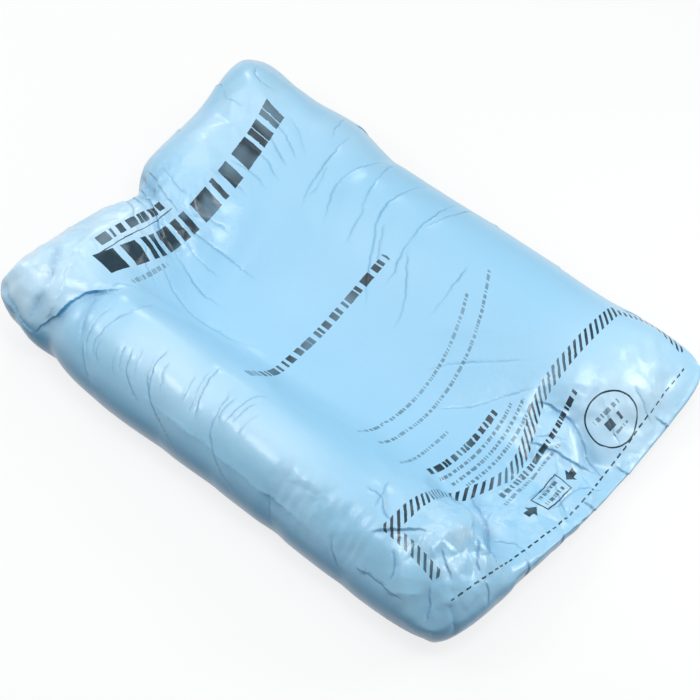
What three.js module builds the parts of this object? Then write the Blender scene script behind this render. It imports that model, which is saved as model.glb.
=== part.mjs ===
// Expanded foam packaging bag: two film sheets sealed together round their edge and swollen by set foam.
// The foam set round a packed article, so the top is a cradle: a dish between two long rims, closed by a
// tall roll at one end and running out over a low saddle at the other, sealed end.
// Millimetres, +Z up. +X runs along the bag towards the sealed end, and the origin is under the middle.
import * as THREE from "three";

// Driving dimensions of the swollen bag, seen from above
const LENGTH = 548; // corner to corner along the bag
const SEALED_END_WIDTH = 393;
const ROLLED_END_WIDTH = 364;
const CORNER_SQUARENESS = 18;
const SEALED_END_BOW = 21; // the sealed end stands out this far in its middle
const SEALED_END_SKEW = 0.4; // and this share more at its left
const ROLLED_END_BOW = 5; // the rolled end is drawn in this far in its middle
const PINCH_DEPTH = 16; // and this much more where the roll is pinched
const PINCH_WIDTH_LEFT = 88;
const PINCH_WIDTH_RIGHT = 24;
const PINCH_T = -0.08;
const END_FADE = 6; // how soon the shape of an end is lost further along the bag
const LEFT_BULGE = { s: -0.45, spread: 0.45, out: 9 };
const RIGHT_BULGE = { s: -0.55, spread: 0.16, out: 9 };

// Edge seam: its height above the floor, and the ridge that the two sheets make along it
const SEAM_HEIGHT = 43;
const SEAM_RIDGE = 1.5;
const SEALED_END_DROP = 26; // the seam sinks along the right of the sealed end
const ROLLED_END_LIFT = 4;

// Corners of the flat sheets that stand out and up as ears, and overhang the base
const EAR_SIZE = 70;
const EARS = [
  { s: -1, t: -1, outX: 6, outY: -3, lift: 7, overhang: 14 },
  { s: -1, t: 1, outX: -11, outY: 8, lift: 20, overhang: 12 },
  { s: 1, t: -1, outX: 8, outY: 3, lift: 4, overhang: 4 },
  { s: 1, t: 1, outX: 6, outY: 11, lift: 16, overhang: 8 },
];

// Crests above the seam, and how far inside the seam they run
const LEFT_RIM_RISE = 52;
const LEFT_RIM_REACH = 44;
const LEFT_RIM_TOP = 18; // breadth of its flat top
const RIGHT_RIM_RISE = 44;
const RIGHT_RIM_REACH = 56;
const ROLL_RISE = 46;
const ROLL_REACH = 46;
const END_REACH = 82; // the sealed end climbs over this length
const END_TURN = [-0.4, 0.4]; // between these places across, its round lobe turns into a straight slope

// Dish: floor above the seam, and the lengths over which its sides climb to the crests
const DISH_RISE = 2;
const DISH_LEFT_SLOPE = 42; // beside the left rim, at the rolled end
const DISH_LEFT_SLOPE_SEALED = 88; // and at the sealed end
const DISH_RIGHT_SLOPE = 165;
const DISH_ROLL_SLOPE = 115;

// Underside
const BASE_INSET = 22; // the flat base stops this far inside the seam

// Lumps where the foam swelled more than its surroundings, or less. Places on the sheet are [s, t]:
// s runs along it and t across, each from -1 to 1.
const SWELLS = [
  { at: [-0.86, 0.74], size: 26, rise: 7 }, // knob in the corner of the roll
  { at: [-0.8, 0.3], size: 48, rise: 4 }, // roll, right of the pinch
  { at: [-0.74, -0.5], size: 50, rise: 4 }, // roll, left of the pinch
  { at: [-0.4, -0.8], size: 44, rise: 2 }, // left rim
  { at: [0.2, -0.78], size: 60, rise: 2 },
  { at: [0.78, -0.6], size: 44, rise: 11 }, // left lobe of the sealed end
  { at: [-0.52, 0.88], size: 34, rise: 4 }, // right rim
  { at: [0.3, 0.8], size: 70, rise: 2 },
  { at: [0.8, 0.62], size: 48, rise: 5 },
  { at: [0.77, 0.02], size: 44, rise: -9 }, // sunken middle of the sealed end
];

// Folds gathered into the film, each a valley along a line of places
const FOLDS = [
  // pinch over the roll, and the tuck between the roll and the left rim
  { line: [[-1.06, -0.03], [-0.81, -0.13], [-0.66, -0.21], [-0.46, -0.26]], depth: 14, width: 20 },
  { line: [[-0.76, -1.06], [-0.69, -0.94], [-0.67, -0.76], [-0.58, -0.5]], depth: 14, width: 14 },
  { line: [[-0.85, -0.8], [-0.87, -0.97], [-0.84, -1.05]], depth: 5, width: 10 },
  { line: [[-0.62, -0.03], [-0.5, -0.03], [-0.34, -0.03]], depth: 2.5, width: 9 },
  { line: [[-0.43, -0.4], [-0.29, -0.38], [-0.11, -0.31]], depth: 2, width: 9 },
  { line: [[-0.95, 0.5], [-0.86, 0.52], [-0.72, 0.48]], depth: 3, width: 10 },
  // left rim
  { line: [[-0.47, -0.5], [-0.49, -0.64], [-0.5, -0.92], [-0.45, -1.04]], depth: 4, width: 8 },
  { line: [[-0.3, -0.68], [-0.28, -0.83], [-0.23, -0.94], [-0.1, -1.04]], depth: 3.5, width: 8 },
  { line: [[-0.15, -0.57], [-0.1, -0.76], [-0.07, -0.88], [-0.04, -0.96]], depth: 3, width: 8 },
  { line: [[-0.04, -0.66], [0.0, -0.83], [0.03, -0.93], [0.12, -1.04]], depth: 3.5, width: 8 },
  { line: [[0.31, -0.94], [0.35, -0.99], [0.37, -1.05]], depth: 4, width: 9 },
  { line: [[0.56, -0.8], [0.62, -0.9], [0.66, -1.05]], depth: 4, width: 9 },
  // right rim
  { line: [[-0.5, 0.9], [-0.46, 0.78], [-0.42, 0.47], [-0.39, 0.36]], depth: 2.5, width: 8 },
  { line: [[-0.32, 1.04], [-0.34, 0.73], [-0.35, 0.55], [-0.27, 0.37]], depth: 4, width: 9 },
  { line: [[-0.26, 0.92], [-0.24, 0.65], [-0.2, 0.49], [-0.17, 0.3]], depth: 2.5, width: 8 },
  { line: [[-0.12, 0.98], [-0.16, 0.76], [-0.15, 0.6], [-0.09, 0.43], [0.02, 0.16]], depth: 2.5, width: 8 },
  { line: [[0.0, 0.94], [0.0, 0.68], [0.0, 0.5], [0.04, 0.3]], depth: 2, width: 8 },
  // sealed end: the valleys beside its sunken middle, and the crumples between them
  { line: [[0.58, -0.36], [0.65, -0.3], [0.73, -0.3], [0.84, -0.36], [1.05, -0.5]], depth: 13, width: 14 },
  { line: [[0.65, 0.3], [0.79, 0.33], [0.84, 0.33], [0.92, 0.28], [1.05, 0.26]], depth: 10, width: 12 },
  { line: [[0.77, 0.11], [0.83, 0.14], [1.0, 0.23]], depth: 3, width: 9 },
  { line: [[0.78, 0.0], [0.86, 0.02], [0.97, -0.06]], depth: 3, width: 9 },
  { line: [[0.44, 0.0], [0.53, 0.1], [0.6, 0.23], [0.67, 0.36]], depth: 2, width: 8 },
  { line: [[0.86, -0.94], [0.84, -0.8], [0.92, -0.66], [1.04, -0.62]], depth: 4, width: 10 },
];

const FOLD_RUN_IN = 0.2; // share of a fold's length over which it deepens
const FOLD_RUN_OUT = 0.3;

// Facets
const COLUMNS = 84;
const ROWS = 54;
const WALL_STEPS = 6;
const BASE_STEPS = 4;

const clamp01 = (v) => THREE.MathUtils.clamp(v, 0, 1);
const ease = (v) => THREE.MathUtils.smoothstep(v, 0, 1);
const lerp = THREE.MathUtils.lerp;
const hump = (distance, width) => Math.exp(-((distance / width) ** 2));

const halfLength = LENGTH / 2;
const halfWidth = (SEALED_END_WIDTH + ROLLED_END_WIDTH) / 4;
const onSheet = ([s, t]) => new THREE.Vector3(s * halfLength, t * halfWidth, 0);
const earShare = (ear, s, t) => hump(onSheet([s, t]).distanceTo(onSheet([ear.s, ear.t])), EAR_SIZE);
const fromEars = (key, s, t) => EARS.reduce((sum, ear) => sum + ear[key] * earShare(ear, s, t), 0);

// Grid lines from -1 to 1, close together over the rounded walls and even between them.
function gridLines(count, half, reach) {
  const wall = Array.from({ length: WALL_STEPS }, (_, k) => {
    const turn = ((k / WALL_STEPS) * Math.PI) / 2;
    return -1 + (reach / half) * (1 - Math.cos(turn));
  });
  const inner = -1 + reach / half;
  const middleSteps = count - 2 * WALL_STEPS;
  const middle = Array.from({ length: middleSteps + 1 }, (_, k) => lerp(inner, -inner, k / middleSteps));
  return [...wall, ...middle, ...wall.map((v) => -v).reverse()];
}

// The sheet seen from above: four edges between rounded corners.
function plan(s, t) {
  const power = CORNER_SQUARENESS;
  const spread = Math.max(Math.abs(s), Math.abs(t));
  const round = (Math.abs(s) ** power + Math.abs(t) ** power) ** (1 / power);
  const u = spread > 0 ? (s * spread) / round : 0;
  const v = spread > 0 ? (t * spread) / round : 0;
  const sealed = (u + 1) / 2;
  const rolled = (1 - u) / 2;
  const pinchWidth = v < PINCH_T ? PINCH_WIDTH_LEFT : PINCH_WIDTH_RIGHT;
  const pinch = PINCH_DEPTH * hump((v - PINCH_T) * halfWidth, pinchWidth);
  const bowOut = SEALED_END_BOW * (1 - v * v) * (1 - SEALED_END_SKEW * v) * sealed ** END_FADE;
  const drawnIn = (ROLLED_END_BOW * (1 - v * v) + pinch) * rolled ** END_FADE;
  const side = v < 0 ? LEFT_BULGE : RIGHT_BULGE;
  const bulge = side.out * hump(u - side.s, side.spread) * v * Math.abs(v);
  const x = u * halfLength + bowOut + drawnIn + fromEars("outX", s, t);
  const y = (v * lerp(ROLLED_END_WIDTH, SEALED_END_WIDTH, sealed)) / 2 + bulge + fromEars("outY", s, t);
  return new THREE.Vector3(x, y, 0);
}

const arch = (distance, reach) => Math.sqrt(1 - (1 - clamp01(distance / reach)) ** 2);
const ramp = (distance, reach) => Math.sin((clamp01(distance / reach) * Math.PI) / 2);
const sloped = (t) => THREE.MathUtils.smoothstep(t, ...END_TURN);

function seamHeight(s, t) {
  const sealed = SEALED_END_DROP * sloped(t) * ((1 + s) / 2) ** END_FADE;
  const rolled = ROLLED_END_LIFT * ((1 - s) / 2) ** END_FADE;
  return SEAM_HEIGHT - sealed + rolled + fromEars("lift", s, t);
}

// Upper sheet before its lumps and folds.
function upper(s, t) {
  const toSealed = (1 - s) * halfLength;
  const toRolled = (1 + s) * halfLength;
  const toLeft = (1 + t) * halfWidth;
  const toRight = (1 - t) * halfWidth;
  const sealedEnd = lerp(arch(toSealed, END_REACH), ramp(toSealed, END_REACH), sloped(t));
  const ends = sealedEnd * arch(toRolled, ROLL_REACH);
  const sides = arch(toLeft, LEFT_RIM_REACH) * arch(toRight, RIGHT_RIM_REACH);
  const leftSlope = lerp(DISH_LEFT_SLOPE, DISH_LEFT_SLOPE_SEALED, (s + 1) / 2);
  const left = ease((toLeft - LEFT_RIM_REACH - LEFT_RIM_TOP) / leftSlope);
  const right = ease((toRight - RIGHT_RIM_REACH) / DISH_RIGHT_SLOPE);
  const roll = ease((toRolled - ROLL_REACH) / DISH_ROLL_SLOPE);
  const rim = lerp(LEFT_RIM_RISE, RIGHT_RIM_RISE, (t + 1) / 2);
  const crest = lerp(ROLL_RISE, rim, roll);
  const point = plan(s, t);
  point.z = seamHeight(s, t) + ends * sides * lerp(crest, DISH_RISE, left * right * roll);
  return point;
}

// Outward direction of the upper sheet.
function outward(s, t) {
  const step = 0.004;
  const along = upper(Math.min(s + step, 1), t).sub(upper(Math.max(s - step, -1), t));
  const across = upper(s, Math.min(t + step, 1)).sub(upper(s, Math.max(t - step, -1)));
  return along.cross(across).normalize();
}

const foldLines = FOLDS.map(({ line, depth, width }) => {
  const points = line.map(onSheet);
  const spans = points.slice(1).map((b, k) => new THREE.Line3(points[k], b));
  const length = spans.reduce((sum, span) => sum + span.distance(), 0);
  return { spans, length, depth, width };
});

// A fold is deepest along its line and runs out towards both ends.
function foldDepth(fold, place) {
  const nearest = new THREE.Vector3();
  let best = Infinity;
  let along = 0;
  let walked = 0;
  for (const span of fold.spans) {
    const reached = span.closestPointToPointParameter(place, true);
    const distance = span.at(reached, nearest).distanceTo(place);
    if (distance < best) {
      best = distance;
      along = walked + reached * span.distance();
    }
    walked += span.distance();
  }
  const share = along / fold.length;
  const taper = ease(share / FOLD_RUN_IN) * ease((1 - share) / FOLD_RUN_OUT);
  return fold.depth * taper * Math.exp(-best / fold.width);
}

// How far lumps, folds and the seam's ridge move the upper sheet outwards.
function relief(s, t) {
  const place = onSheet([s, t]);
  const ridge = Math.max(Math.abs(s), Math.abs(t)) === 1 ? SEAM_RIDGE : 0;
  const swells = SWELLS.map(({ at, size, rise }) => rise * hump(onSheet(at).distanceTo(place), size));
  const folds = foldLines.map((fold) => -foldDepth(fold, place));
  return [...swells, ...folds].reduce((sum, move) => sum + move, ridge);
}

function bag() {
  const lengthwise = gridLines(COLUMNS, halfLength, ROLL_REACH);
  const crosswise = gridLines(ROWS, halfWidth, LEFT_RIM_REACH);
  const points = [];
  const triangles = [];
  const put = (point) => points.push(point) - 1;
  // Each quad is split along its shorter diagonal.
  const quad = (a, b, c, d) => {
    const straight = points[a].distanceTo(points[c]) <= points[b].distanceTo(points[d]);
    triangles.push(...(straight ? [a, b, c, a, c, d] : [a, b, d, b, c, d]));
  };

  // Upper sheet
  const top = lengthwise.map((s) =>
    crosswise.map((t) => put(upper(s, t).addScaledVector(outward(s, t), relief(s, t)))),
  );
  for (let i = 0; i < COLUMNS; i++) {
    for (let j = 0; j < ROWS; j++) {
      quad(top[i][j], top[i + 1][j], top[i + 1][j + 1], top[i][j + 1]);
    }
  }

  // Seam, anticlockwise from above
  const seam = [];
  for (let i = 0; i < COLUMNS; i++) seam.push([i, 0]);
  for (let j = 0; j < ROWS; j++) seam.push([COLUMNS, j]);
  for (let i = COLUMNS; i > 0; i--) seam.push([i, ROWS]);
  for (let j = ROWS; j > 0; j--) seam.push([0, j]);

  // Lower sheet: turns in from the seam to the flat base, and leaves the seam's puckers behind
  let ring = seam.map(([i, j]) => top[i][j]);
  const pucker = seam.map(([i, j]) => points[top[i][j]].clone().sub(upper(lengthwise[i], crosswise[j])));
  for (let k = 1; k <= BASE_STEPS; k++) {
    const turn = ((k / BASE_STEPS) * Math.PI) / 2;
    const next = seam.map(([i, j], n) => {
      const s = lengthwise[i];
      const t = crosswise[j];
      const inset = (BASE_INSET + fromEars("overhang", s, t)) * (1 - Math.cos(turn));
      const point = plan(s * (1 - inset / halfLength), t * (1 - inset / halfWidth));
      point.z = k === BASE_STEPS ? 0 : seamHeight(s, t) * (1 - Math.sin(turn));
      return put(point.addScaledVector(pucker[n], 1 - k / BASE_STEPS));
    });
    ring.forEach((a, n) => {
      const m = (n + 1) % ring.length;
      quad(a, next[n], next[m], ring[m]);
    });
    ring = next;
  }
  const base = ring.map((n) => new THREE.Vector2(points[n].x, points[n].y));
  for (const [a, b, c] of THREE.ShapeUtils.triangulateShape(base, [])) {
    triangles.push(ring[a], ring[c], ring[b]);
  }

  const geometry = new THREE.BufferGeometry().setFromPoints(points);
  geometry.setIndex(triangles);
  geometry.computeBoundingBox();
  const middle = geometry.boundingBox.getCenter(new THREE.Vector3());
  geometry.translate(-middle.x, -middle.y, -geometry.boundingBox.min.z);
  geometry.computeVertexNormals();
  return geometry;
}

const film = new THREE.MeshStandardMaterial({ color: 0xa9d8f2, roughness: 0.35, metalness: 0 });
const foamBag = new THREE.Mesh(bag(), film);
foamBag.name = "foam_bag";

const part = new THREE.Group();
part.add(foamBag);
export default part;
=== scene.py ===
import math
import bpy
import numpy as np
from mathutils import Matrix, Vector, noise
from mathutils.geometry import delaunay_2d_cdt


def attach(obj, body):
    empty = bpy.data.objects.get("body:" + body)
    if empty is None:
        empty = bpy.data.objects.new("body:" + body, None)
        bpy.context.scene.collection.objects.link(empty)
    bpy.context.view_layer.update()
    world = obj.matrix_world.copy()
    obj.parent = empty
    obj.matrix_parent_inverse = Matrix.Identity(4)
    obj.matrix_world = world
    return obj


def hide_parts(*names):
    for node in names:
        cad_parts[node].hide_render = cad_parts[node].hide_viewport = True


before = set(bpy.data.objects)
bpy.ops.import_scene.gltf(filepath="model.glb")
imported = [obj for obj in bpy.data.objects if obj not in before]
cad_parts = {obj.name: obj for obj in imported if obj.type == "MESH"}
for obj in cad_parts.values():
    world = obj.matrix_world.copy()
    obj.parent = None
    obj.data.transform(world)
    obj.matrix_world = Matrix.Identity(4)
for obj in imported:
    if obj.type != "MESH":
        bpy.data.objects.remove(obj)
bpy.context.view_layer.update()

millimetre = 0.001


def toLinear(hexColour):
    channels = [int(hexColour[k:k + 2], 16) / 255 for k in (0, 2, 4)]
    linear = [c / 12.92 if c <= 0.04045 else ((c + 0.055) / 1.055) ** 2.4 for c in channels]
    return (*linear, 1.0)


# adds one node with its settings, and fills its inputs with plain values, other nodes' sockets,
# or other nodes, which then give their first output
def addNode(tree, kind, settings=None, inputs=None):
    node = tree.nodes.new(kind)
    for name, value in (settings or {}).items():
        setattr(node, name, value)
    for name, value in (inputs or {}).items():
        if isinstance(value, bpy.types.Node):
            value = value.outputs[0]
        if isinstance(value, bpy.types.NodeSocket):
            tree.links.new(value, node.inputs[name])
        else:
            node.inputs[name].default_value = value
    return node


def deselectAll():
    if bpy.context.object and bpy.context.object.mode != "OBJECT":
        bpy.ops.object.mode_set(mode="OBJECT")
    bpy.ops.object.select_all(action="DESELECT")


def ease(v):
    v = np.clip(v, 0, 1)
    return v * v * (3 - 2 * v)


bagSettings = {
    "node": "foam_bag",
    "mergeMm": 0.02,
    "quadAngles": (60, 80),  # triangles this near to flat, and to square, are joined as quads
    "filmAboveMm": 24,  # the printed sheet ends a little under the seam
    "filmFacing": 0.15,  # and takes in lower faces that look up at least this much
    "farAway": 9.0,  # film place of faces that carry no print
}


# the swollen bag starts as a merged copy of the solid
def makeBag(settings):
    deselectAll()
    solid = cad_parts[settings["node"]]
    bag = solid.copy()
    bag.data = solid.data.copy()
    bag.name = "film_bag"
    bag.data.name = "film_bag"
    bag.parent = None
    bpy.context.collection.objects.link(bag)
    bag.select_set(True)
    bpy.context.view_layer.objects.active = bag
    bpy.ops.object.mode_set(mode="EDIT")
    bpy.ops.mesh.select_mode(type="FACE")
    bpy.ops.mesh.select_all(action="SELECT")
    bpy.ops.mesh.remove_doubles(threshold=settings["mergeMm"] * millimetre)
    flat, square = (math.radians(angle) for angle in settings["quadAngles"])
    bpy.ops.mesh.tris_convert_to_quads(face_threshold=flat, shape_threshold=square)
    bpy.ops.object.mode_set(mode="OBJECT")
    bpy.ops.object.shade_smooth()
    print("bag:", len(bag.data.vertices), "vertices", len(bag.data.polygons), "faces")
    return bag


def readPoints(bag):
    points = np.empty(len(bag.data.vertices) * 3, np.float32)
    bag.data.vertices.foreach_get("co", points)
    return points.reshape(-1, 3)


def writePoints(bag, points):
    bag.data.vertices.foreach_set("co", points.astype(np.float32).ravel())
    bag.data.update()


def readNormals(bag):
    normals = np.empty(len(bag.data.vertices) * 3, np.float32)
    bag.data.vertex_normals.foreach_get("vector", normals)
    return normals.reshape(-1, 3)


def readFilm(bag):
    vertexOf = np.empty(len(bag.data.loops), int)
    bag.data.loops.foreach_get("vertex_index", vertexOf)
    film = np.empty(len(bag.data.loops) * 2, np.float32)
    bag.data.uv_layers["film"].uv.foreach_get("vector", film)
    return vertexOf, film.reshape(-1, 2)


# unwraps the printed sheet flat, in metres, and lays it over the plan of the bag
def layFilm(bag, settings):
    bag.data.uv_layers.new(name="film")
    onFilm = []
    for face in bag.data.polygons:
        above = face.center.z > settings["filmAboveMm"] * millimetre
        face.select = above or face.normal.z > settings["filmFacing"]
        if face.select:
            onFilm.extend(face.loop_indices)
    bpy.ops.object.mode_set(mode="EDIT")
    bpy.ops.uv.unwrap(method="MINIMUM_STRETCH", fill_holes=True, correct_aspect=False, margin=0.0)
    bpy.ops.object.mode_set(mode="OBJECT")
    vertexOf, film = readFilm(bag)
    plan = readPoints(bag)[vertexOf[onFilm], :2]
    flat = film[onFilm]
    planMiddle, flatMiddle = plan.mean(axis=0), flat.mean(axis=0)
    left, _, right = np.linalg.svd((flat - flatMiddle).T @ (plan - planMiddle))
    area = flatArea = 0.0
    for face in bag.data.polygons:
        if face.select:
            area += face.area
            x, y = film[list(face.loop_indices)].T
            flatArea += abs(x @ np.roll(y, -1) - y @ np.roll(x, -1)) / 2
    laid = np.full_like(film, settings["farAway"])
    laid[onFilm] = (flat - flatMiddle) @ (left @ right) * math.sqrt(area / flatArea) + planMiddle
    bag.data.uv_layers["film"].uv.foreach_set("vector", laid.ravel())
    lowest, highest = laid[onFilm].min(axis=0), laid[onFilm].max(axis=0)
    print("film laid flat, mm:", np.round((highest - lowest) / millimetre))


# where each vertex lies on the flat film, in millimetres, and far away if it isn't on it
def filmPlaces(bag, settings):
    vertexOf, film = readFilm(bag)
    places = np.full((len(bag.data.vertices), 2), settings["farAway"])
    onFilm = film[:, 0] < settings["farAway"] / 2
    places[vertexOf[onFilm]] = film[onFilm]
    return places / millimetre


def subdivideBag(bag):
    finer = bag.modifiers.new("finer", "SUBSURF")
    finer.levels = 1
    finer.render_levels = 1
    bpy.ops.object.modifier_apply(modifier=finer.name)


# cuts faces finer where all their vertices are marked and their area in square mm is over a limit
def cutFaces(bag, marked, area, cuts):
    bpy.ops.object.mode_set(mode="EDIT")
    bpy.ops.mesh.select_all(action="DESELECT")
    bpy.ops.object.mode_set(mode="OBJECT")
    for face in bag.data.polygons:
        face.select = face.area > area * millimetre ** 2 and all(marked[n] for n in face.vertices)
    bpy.ops.object.mode_set(mode="EDIT")
    bpy.ops.mesh.subdivide(number_cuts=cuts)
    bpy.ops.object.mode_set(mode="OBJECT")


slackSettings = {
    # places of slack film: middle x, y and reach x, y in mm, share of the slack
    "zones": [
        (245, 10, 50, 80, 1.4),  # sunken middle of the sealed end
        (225, -110, 40, 40, 0.9),  # and its left lobe
        (245, 120, 30, 50, 1.0),
        (-225, -60, 50, 90, 0.9),  # roll beside the pinch
        (-255, -150, 40, 40, 1.2),  # ear
    ],
    "heldBelowMm": 20,
    "slack": 0.04,
    "frames": 14,
    "capMm": 3,
    "freeFrom": 0.9,  # share of freedom from which the print line counts film as slack
    "cloth": {
        "quality": 4,
        "mass": 0.05,
        "tension_stiffness": 20,
        "compression_stiffness": 20,
        "shear_stiffness": 10,
        "bending_stiffness": 0.004,
        "tension_damping": 1,
        "compression_damping": 1,
        "shear_damping": 1,
        "bending_damping": 0.1,
        "air_damping": 0.5,
        "pin_stiffness": 0.2,
        "use_pressure": True,
        "uniform_pressure_force": 1.0,
    },
}


# the film is let out a little where it is slack, and buckles over the foam that fills it
def slackenFilm(bag, settings):
    start = readPoints(bag)
    free = np.zeros(len(start))
    for x, y, reachX, reachY, share in settings["zones"]:
        awayX = (start[:, 0] / millimetre - x) / reachX
        awayY = (start[:, 1] / millimetre - y) / reachY
        free = np.maximum(free, share * np.exp(-(awayX ** 2 + awayY ** 2)))
    free = np.clip(free, 0, 1)
    free[start[:, 2] < settings["heldBelowMm"] * millimetre] = 0
    held = bag.vertex_groups.new(name="held")
    for n, share in enumerate(free):
        held.add([n], float(1 - share), "REPLACE")
    cloth = bag.modifiers.new("film", "CLOTH")
    film = cloth.settings
    for name, value in settings["cloth"].items():
        setattr(film, name, value)
    film.vertex_group_mass = held.name
    film.effector_weights.gravity = 0
    film.vertex_group_shrink = held.name
    film.shrink_min = -settings["slack"]
    film.shrink_max = 0
    cloth.point_cache.frame_end = settings["frames"]
    for n in range(1, settings["frames"] + 1):
        bpy.context.scene.frame_set(n)
    bpy.ops.object.modifier_apply(modifier=cloth.name)
    bpy.context.scene.frame_set(1)
    bag.vertex_groups.clear()
    moved = readPoints(bag) - start
    far = np.linalg.norm(moved, axis=1) / millimetre
    capped = settings["capMm"] / np.maximum(far, settings["capMm"])
    writePoints(bag, start + moved * capped[:, None])
    mean = far[free > settings["freeFrom"]].mean()
    print("film slackened, mm: mean", round(float(mean), 2), "most", round(float(far.max()), 2))


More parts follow.
